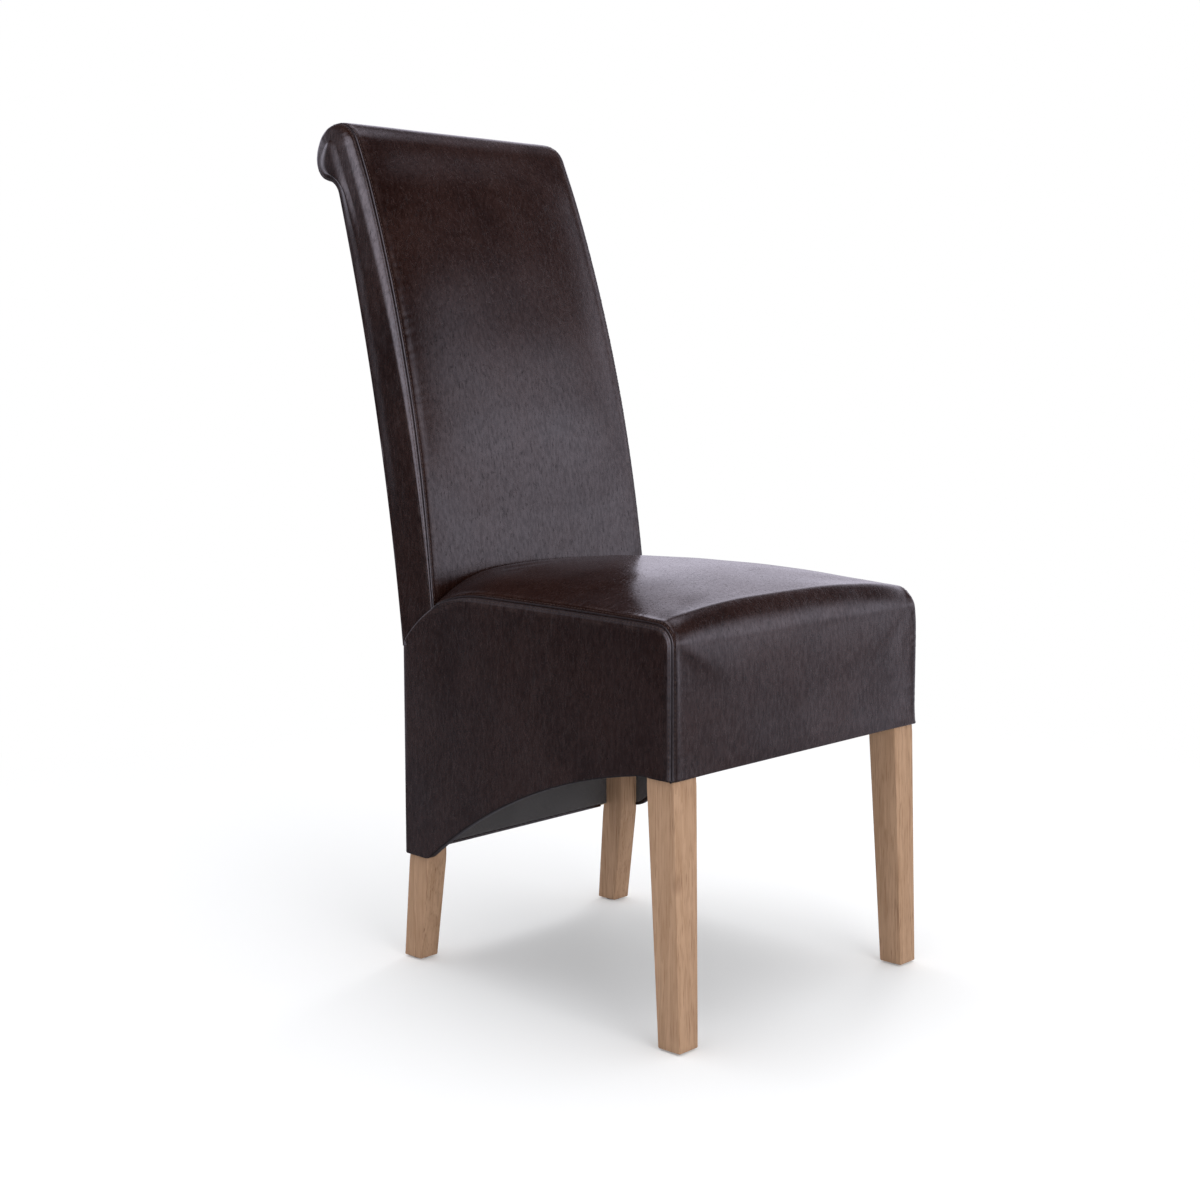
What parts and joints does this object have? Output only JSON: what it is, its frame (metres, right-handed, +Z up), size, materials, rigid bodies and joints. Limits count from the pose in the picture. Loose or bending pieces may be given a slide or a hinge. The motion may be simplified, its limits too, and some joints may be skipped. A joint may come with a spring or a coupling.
{
  "type": "dining chair",
  "caption": "High-backed dining chair with a rolled scroll top, crowned seat, arched leather side skirts and four square tapered wooden legs.",
  "frame": {"origin": "floor level, at the middle of the chair's footprint box", "axes": "+Z up, -Y to the front of the chair, +X to the sitter's left"},
  "size_m": [0.4784, 0.6593, 1.072],
  "materials": {
    "leather": "gloss",
    "leg_wood": "satin",
    "frame_wood": "sawn",
    "plywood": "sawn",
    "foam": "matte",
    "wadding": "matte",
    "webbing": "woven",
    "lining": "matte",
    "steel": "zinc plated",
    "glide": "matte"
  },
  "bodies": {
    "root": {"front_leg_right": "leg_wood", "front_leg_left": "leg_wood", "rear_post_right": "leg_wood", "rear_post_left": "leg_wood", "front_rail": "frame_wood", "rear_rail": "frame_wood", "side_rail_right": "frame_wood", "side_rail_left": "frame_wood", "corner_block_front_right": "frame_wood", "corner_block_front_left": "frame_wood", "corner_block_rear_right": "frame_wood", "corner_block_rear_left": "frame_wood", "corner_bolts": "steel", "bolt_washers": "steel", "block_screws": "steel", "seat_dowels": "frame_wood", "back_dowels": "frame_wood", "back_bottom_rail": "frame_wood", "back_middle_rail": "frame_wood", "back_top_rail": "frame_wood", "scroll_rail": "frame_wood", "scroll_board": "plywood", "side_apron_right": "plywood", "side_apron_left": "plywood", "rear_apron": "plywood", "seat_webbing_long": "webbing", "seat_webbing_cross": "webbing", "back_webbing": "webbing", "seat_foam": "foam", "back_foam": "foam", "scroll_foam": "foam", "front_wadding": "wadding", "side_wadding_right": "wadding", "side_wadding_left": "wadding", "rear_skirt_wadding": "wadding", "back_wadding": "wadding", "seat_cover": "leather", "side_cover_right": "leather", "side_cover_left": "leather", "rear_skirt_cover": "leather", "back_cover_front": "leather", "back_cover_rear": "leather", "back_gusset_right": "leather", "back_gusset_left": "leather", "dust_cover": "lining", "rear_lining": "lining", "side_lining_right": "lining", "side_lining_left": "lining", "foot_glides": "glide"}
  },
  "joints": []
}
